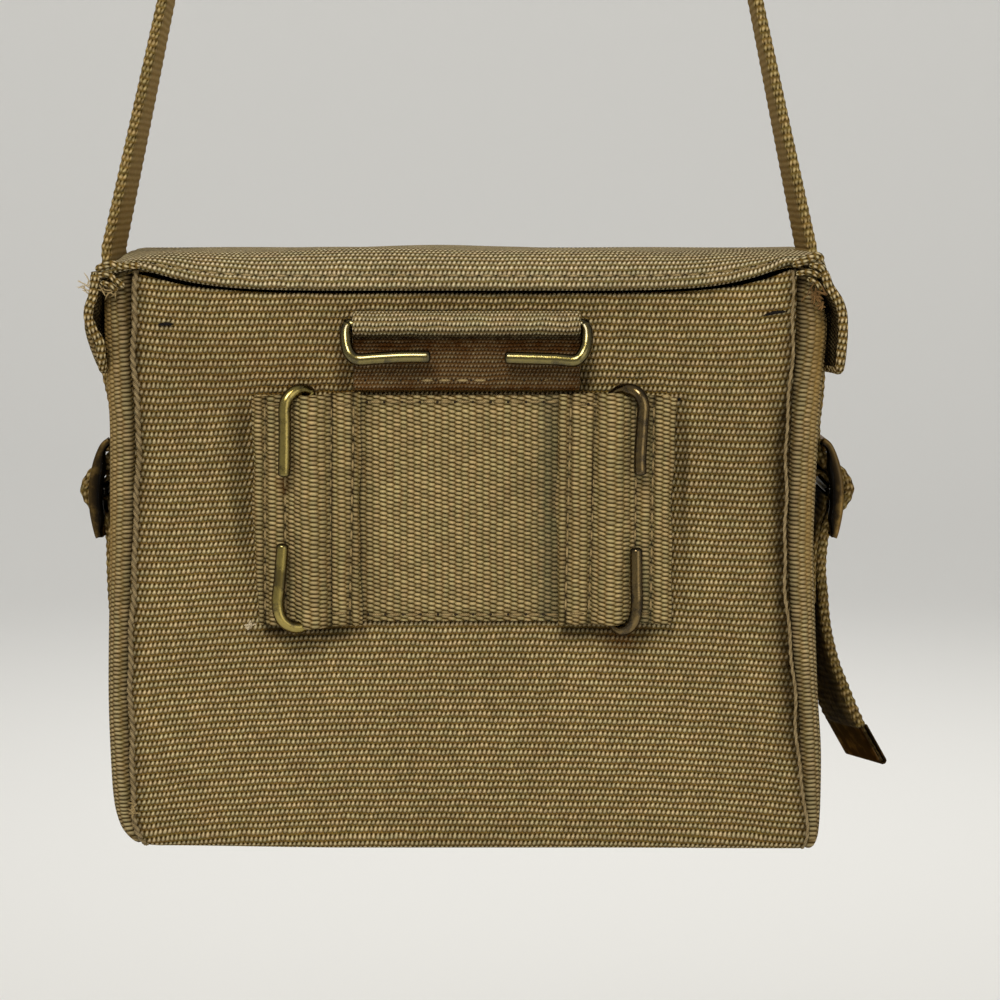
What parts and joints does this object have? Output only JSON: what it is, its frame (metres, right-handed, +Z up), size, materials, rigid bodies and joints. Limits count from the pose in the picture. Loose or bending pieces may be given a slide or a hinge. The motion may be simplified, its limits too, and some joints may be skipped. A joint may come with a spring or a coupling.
{
  "type": "canvas crossbody case",
  "caption": "Boxy khaki canvas webbing case hung by its shoulder strap, with a drooping lid, wire belt hooks on one side and buckled strap tails",
  "frame": {"origin": "inside of the strap's top bend, where the case hangs", "axes": "+Z up, +X to the right as seen from the hook side, hook side faces -Y"},
  "size_m": [0.2121, 0.0911, 0.5213],
  "materials": {
    "canvas": "coarse rib weave, khaki",
    "webbing": "coarse rib webbing, khaki",
    "stained_webbing": "coarse rib webbing with brown stains",
    "brass": "aged brass",
    "dark_brass": "dark tarnished brass"
  },
  "bodies": {
    "root": {"body_wrap": "canvas", "side_panel_left": "canvas", "side_panel_right": "canvas", "lid_top": "canvas", "lid_flap_left": "canvas", "lid_flap_right": "canvas", "lid_flap_front": "canvas", "belt_panel": "webbing", "hook_tab_left": "webbing", "hook_tab_right": "webbing", "shoulder_strap": "webbing", "buckle_tab_left": "webbing", "buckle_tab_right": "webbing", "top_hook_tab": "stained_webbing", "belt_hook_left": "brass", "belt_hook_right": "brass", "top_hook": "brass", "front_stud": "brass", "buckle_left": "dark_brass", "buckle_right": "dark_brass", "strap_tip_left": "dark_brass", "strap_tip_right": "dark_brass"}
  },
  "joints": []
}
